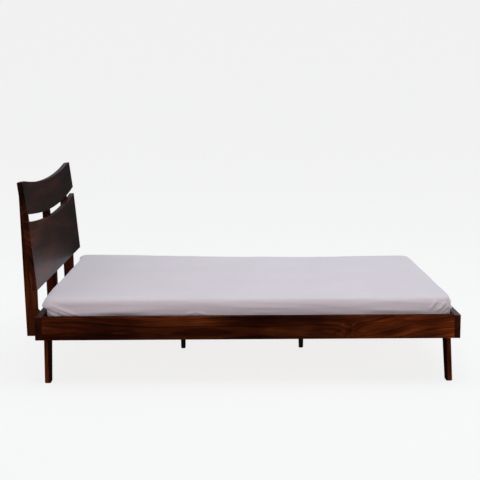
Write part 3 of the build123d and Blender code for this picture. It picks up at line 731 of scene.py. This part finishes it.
def wrinkle(piece):
    """Long soft ripples along the sides, folds at the corners and slow waves on the top."""
    folds = side_folds()
    normals = [vertex.normal.copy() for vertex in piece.data.vertices]
    for vertex, normal in zip(piece.data.vertices, normals):
        x, y, z = vertex.co
        upright = smooth((1 - abs(normal.z)) / 0.6)
        flat_top = smooth((normal.z - 0.5) / 0.4)
        ripple = 0.0034 * noise.noise(Vector((x * 2.4, y * 2.4, z * 26.0)))
        ripple += 0.0016 * noise.noise(Vector((x * 6.0 + 9.0, y * 6.0, z * 55.0)))
        wave = 0.0018 * noise.noise(Vector((x * 3.4, y * 4.6, 5.0)))
        wave += 0.0008 * noise.noise(Vector((x * 11.0, y * 8.0 + 3.0, 2.0)))
        low = smooth((sheet_low.z + 0.062 - z) / 0.03) * (0.3 if normal.z < -0.5 else 1.0)
        pucker = 0.0010 * low * noise.noise(Vector((x * 26.0, y * 26.0, 1.0)))
        if y < 0 and normal.z > -0.5:  # slack places along the right side, above the rail
            pucker -= low * (0.012 * bell(x + 0.57, 0.09) + 0.004 * bell(x + 0.34, 0.10))
        rise = upright * (ripple + pucker + fold_height(x, y, z, folds)) + flat_top * wave
        vertex.co += normal * rise


def keep_clear(piece):
    """Hold the sheet off the rails' inner faces, up to just over their tops."""
    gap = 0.0015
    side = -rail_high.y - gap
    for vertex in piece.data.vertices:
        if vertex.co.z < rail_high.z + 0.004:
            vertex.co.x = max(head_high.x + gap, min(foot_low.x - gap, vertex.co.x))
            vertex.co.y = max(-side, min(side, vertex.co.y))


def settle(cloth, pad):
    """Let the sheet relax over the mattress, held where it is tucked in underneath."""
    start = [vertex.co.copy() for vertex in cloth.data.vertices]
    held = cloth.vertex_groups.new(name="held")
    floor_level = sheet_low.z + 0.002
    held.add([v.index for v in cloth.data.vertices if v.co.z < floor_level], 1.0, "REPLACE")
    pad.modifiers.new("Collision", "COLLISION")
    pad.collision.thickness_outer = 0.001
    pad.collision.cloth_friction = 8
    modifier = cloth.modifiers.new("Cloth", "CLOTH")
    settings = modifier.settings
    settings.quality = 5
    settings.mass = 0.15
    settings.tension_stiffness = 20
    settings.compression_stiffness = 8
    settings.shear_stiffness = 4
    settings.bending_stiffness = 0.05
    settings.shrink_min = -0.004
    settings.vertex_group_mass = "held"
    modifier.collision_settings.distance_min = 0.001
    modifier.collision_settings.collision_quality = 3
    modifier.point_cache.frame_start = 1
    modifier.point_cache.frame_end = 16
    scene = bpy.context.scene
    for frame_number in range(1, 17):
        scene.frame_set(frame_number)
    evaluated = cloth.evaluated_get(bpy.context.evaluated_depsgraph_get())
    moved = [vertex.co.copy() for vertex in evaluated.data.vertices]
    cloth.modifiers.clear()
    pad.modifiers.clear()
    scene.frame_set(1)
    most = 0.002
    for vertex, before, after in zip(cloth.data.vertices, start, moved):
        step = after - before
        if step.length > most:
            step *= most / step.length
        vertex.co = before + step
    cloth.data.update()


def subdivide(piece):
    """One level of subdivision, applied."""
    modifier = piece.modifiers.new("Finer", "SUBSURF")
    modifier.levels = 1
    modifier.render_levels = 1
    graph = bpy.context.evaluated_depsgraph_get()
    finer = bpy.data.meshes.new_from_object(piece.evaluated_get(graph), depsgraph=graph)
    piece.modifiers.clear()
    piece.data = finer
    piece.data.shade_smooth()


def make_mattress():
    slack = Vector((0.011, 0.011, 0))  # the sheet stands a little off the pad's sides
    pad = slab("mattress_pad", core_low + slack, core_high - slack, 0.002, 0)
    shape_slab(pad)
    pad.data.materials.append(
        cloth_material("ticking_cloth", (0.60, 0.58, 0.54), (0.74, 0.72, 0.68), 0.0016, 0.85, 0.3, 0.5)
    )
    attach(pad, "mattress")
    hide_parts("mattress_core")
    return pad


def ribbon(name, lines, width, thickness, closed):
    """Flat tape of rounded section along lines of (point, across, out) triples."""
    mesh = bmesh.new()
    sides = 8
    for line in lines:
        rings = []
        for point, across, out in line:
            turns = [2 * pi * side / sides for side in range(sides)]
            rings.append(
                [
                    mesh.verts.new(point + across * (width / 2 * cos(a)) + out * (thickness / 2 * sin(a)))
                    for a in turns
                ]
            )
        pairs = list(zip(rings, rings[1:])) + ([(rings[-1], rings[0])] if closed else [])
        for first, second in pairs:
            for side in range(sides):
                after = (side + 1) % sides
                mesh.faces.new((first[side], second[side], second[after], first[after]))
        if not closed:
            mesh.faces.new(rings[0])
            mesh.faces.new(rings[-1])
    bmesh.ops.recalc_face_normals(mesh, faces=mesh.faces)
    data = bpy.data.meshes.new(name)
    mesh.to_mesh(data)
    mesh.free()
    data.shade_smooth()
    piece = bpy.data.objects.new(name, data)
    bpy.context.scene.collection.objects.link(piece)
    return piece


def make_hem():
    """Gathered elastic sewn round the sheet's edge, underneath."""
    half_x = (sheet_high.x - sheet_low.x) / 2 - tuck
    half_y = (sheet_high.y - sheet_low.y) / 2 - tuck
    middle_x = (sheet_high.x + sheet_low.x) / 2
    bend = 0.03
    corners = (
        (half_x - bend, half_y - bend, 0),
        (-half_x + bend, half_y - bend, 1),
        (-half_x + bend, -half_y + bend, 2),
        (half_x - bend, -half_y + bend, 3),
    )
    path = []
    for x, y, quarter in corners:
        for step in range(9):
            turn = pi / 2 * (quarter + step / 8)
            path.append(Vector((middle_x + x + bend * cos(turn), y + bend * sin(turn), 0)))
    line = []
    for start, end in zip(path, path[1:] + path[:1]):
        ahead = (end - start).normalized()
        out = Vector((0, 0, 1))
        count = max(1, int((end - start).length / 0.004))
        for step in range(count):
            point = start.lerp(end, step / count)
            gather = 0.0006 * sin(len(line) * 1.9) + 0.0005 * noise.noise(point * 60)
            point.z = sheet_low.z + 0.0012
            across = ahead.cross(out)
            line.append((point + across * gather, across, out))
    return ribbon("sheet_hem", [line], 0.009, 0.0013, closed=True)


def make_corner_seams(cloth):
    """Overlocked seam down each corner, from the top's edge to the turn underneath."""
    tree = BVHTree.FromObject(cloth, bpy.context.evaluated_depsgraph_get())
    middle_x = (sheet_high.x + sheet_low.x) / 2
    lines = []
    for way_x in (-1, 1):
        for way_y in (-1, 1):
            corner = Vector((sheet_high.x if way_x > 0 else sheet_low.x, way_y * sheet_high.y, 0))
            centre = corner - Vector((way_x, way_y, 0)) * (plan_corner + 0.03)
            out = Vector((way_x, way_y, 0)).normalized()
            line = []
            for step in range(41):
                z = sheet_low.z + edge_roll + (sheet_high.z - sheet_low.z - edge_roll - 0.008) * step / 40
                start = Vector((centre.x, centre.y, z)) + out * 0.2
                spot, normal, _, _ = tree.ray_cast(start, -out)
                if spot is None:
                    continue
                across = Vector((-out.y, out.x, 0))
                line.append((spot + normal * 0.0003, across, normal))
            lines.append(line)
    return ribbon("sheet_corner_seams", lines, 0.0032, 0.0014, closed=False)


def make_sheet(pad):
    cloth = slab("fitted_sheet_cloth", sheet_low, sheet_high, 0.0, tuck)
    shape_slab(cloth)
    settle(cloth, pad)
    subdivide(cloth)
    wrinkle(cloth)
    keep_clear(cloth)
    cotton = cloth_material(
        "sheet_cotton_cloth", (0.435, 0.368, 0.398), (0.505, 0.430, 0.460), 0.0009, 0.8, 0.5, 0.35
    )
    trims = [make_hem(), make_corner_seams(cloth)]
    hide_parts("fitted_sheet")
    for piece in [cloth] + trims:
        piece.data.materials.append(cotton)
        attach(piece, "mattress")


# --------------------------------------------------------------- floor, light, camera


def make_stage():
    """Round pale floor that curves up into a wall, all the way round the object."""
    flat_reach, bend, wall_top, bend_steps, turns = 7.5, 3.0, 9.0, 16, 64
    outline = [(flat_reach, 0.0)]
    for step in range(1, bend_steps + 1):
        angle = pi / 2 * step / bend_steps
        outline.append((flat_reach + bend * sin(angle), bend * (1 - cos(angle))))
    outline.append((flat_reach + bend, wall_top))
    bowl = bmesh.new()
    middle = bowl.verts.new((0, 0, 0))
    rings = []
    for reach, height in outline:
        angles = [2 * pi * turn / turns for turn in range(turns)]
        rings.append([bowl.verts.new((reach * cos(a), reach * sin(a), height)) for a in angles])
    for turn in range(turns):
        after = (turn + 1) % turns
        bowl.faces.new((middle, rings[0][turn], rings[0][after]))
        for inner, outer in zip(rings, rings[1:]):
            bowl.faces.new((inner[turn], outer[turn], outer[after], inner[after]))
    data = bpy.data.meshes.new("studio_floor")
    bowl.to_mesh(data)
    bowl.free()
    data.shade_smooth()
    floor = bpy.data.objects.new("studio_floor", data)
    bpy.context.scene.collection.objects.link(floor)
    material, tree, shader = new_material("studio_floor")
    shader.inputs["Base Color"].default_value = (0.08, 0.08, 0.08, 1)
    shader.inputs["Roughness"].default_value = 0.9
    shader.inputs["Emission Color"].default_value = (1, 1, 1, 1)
    shader.inputs["Emission Strength"].default_value = 0.81
    # found by the rays that meet it, so it stays out of the wood's sheen
    material.cycles.emission_sampling = "NONE"
    floor.data.materials.append(material)
    floor.visible_glossy = False  # dark wood would mirror so bright a floor


def make_world():
    """Soft light from above that fades to near dark at the horizon."""
    world = bpy.data.worlds.new("studio")
    world.use_nodes = True
    tree = world.node_tree
    place = tree.nodes.new("ShaderNodeTexCoord")
    split = tree.nodes.new("ShaderNodeSeparateXYZ")
    tree.links.new(place.outputs["Generated"], split.inputs[0])
    background = tree.nodes["Background"]
    background.inputs["Color"].default_value = (0.93, 0.985, 1.0, 1)
    tree.links.new(span(tree, split.outputs["Z"], 0.1, 0.95, 0.04, 0.9), background.inputs["Strength"])
    bpy.context.scene.world = world


def make_lights():
    for name, place, aim, size, power, colour in (
        ("overhead", (0.3, -0.2, 4.2), (0.2, 0.0, 0.3), 3.6, 120, (0.90, 0.98, 1.0)),
        ("front_right", (3.4, -4.4, 2.4), (0.3, 0.0, 0.4), 1.6, 7, (1.0, 1.0, 1.0)),
        ("front_left", (-3.0, -4.6, 2.2), (-0.3, 0.0, 0.4), 1.6, 5, (1.0, 1.0, 1.0)),
    ):
        light = bpy.data.lights.new(name, "AREA")
        light.shape = "SQUARE"
        light.size = size
        light.energy = power
        light.color = colour
        lamp = bpy.data.objects.new(name, light)
        lamp.location = place
        lamp.rotation_euler = (Vector(aim) - Vector(place)).to_track_quat("-Z", "Y").to_euler()
        lamp.visible_camera = False
        lamp.visible_glossy = name == "overhead"  # the ones in front would whiten the dark rails
        bpy.context.scene.collection.objects.link(lamp)


def make_camera():
    """Level with a person's chest, square to the side rail, looking slightly down."""
    place = Vector((head_low.x + 0.9644, rail_low.y - 4.9079, 1.4054))
    yaw, pitch, roll = 0.00613, 0.14174, -0.00465
    ahead = Vector((sin(yaw) * cos(pitch), cos(yaw) * cos(pitch), -sin(pitch)))
    level = Vector((cos(yaw), -sin(yaw), 0))
    up = level.cross(ahead)
    right = level * cos(roll) + up * sin(roll)
    up = -level * sin(roll) + up * cos(roll)
    camera_data = bpy.data.cameras.new("photo_view")
    camera_data.sensor_width = 36
    camera_data.lens = 77.78
    camera = bpy.data.objects.new("photo_view", camera_data)
    camera.matrix_world = Matrix.Translation(place) @ Matrix((right, up, -ahead)).transposed().to_4x4()
    bpy.context.scene.collection.objects.link(camera)
    bpy.context.scene.camera = camera


bpy.context.scene.view_settings.view_transform = "Standard"
make_camera()
dress_wood()
dress_hardware()
mattress = make_mattress()
make_sheet(mattress)
make_stage()
make_world()
make_lights()
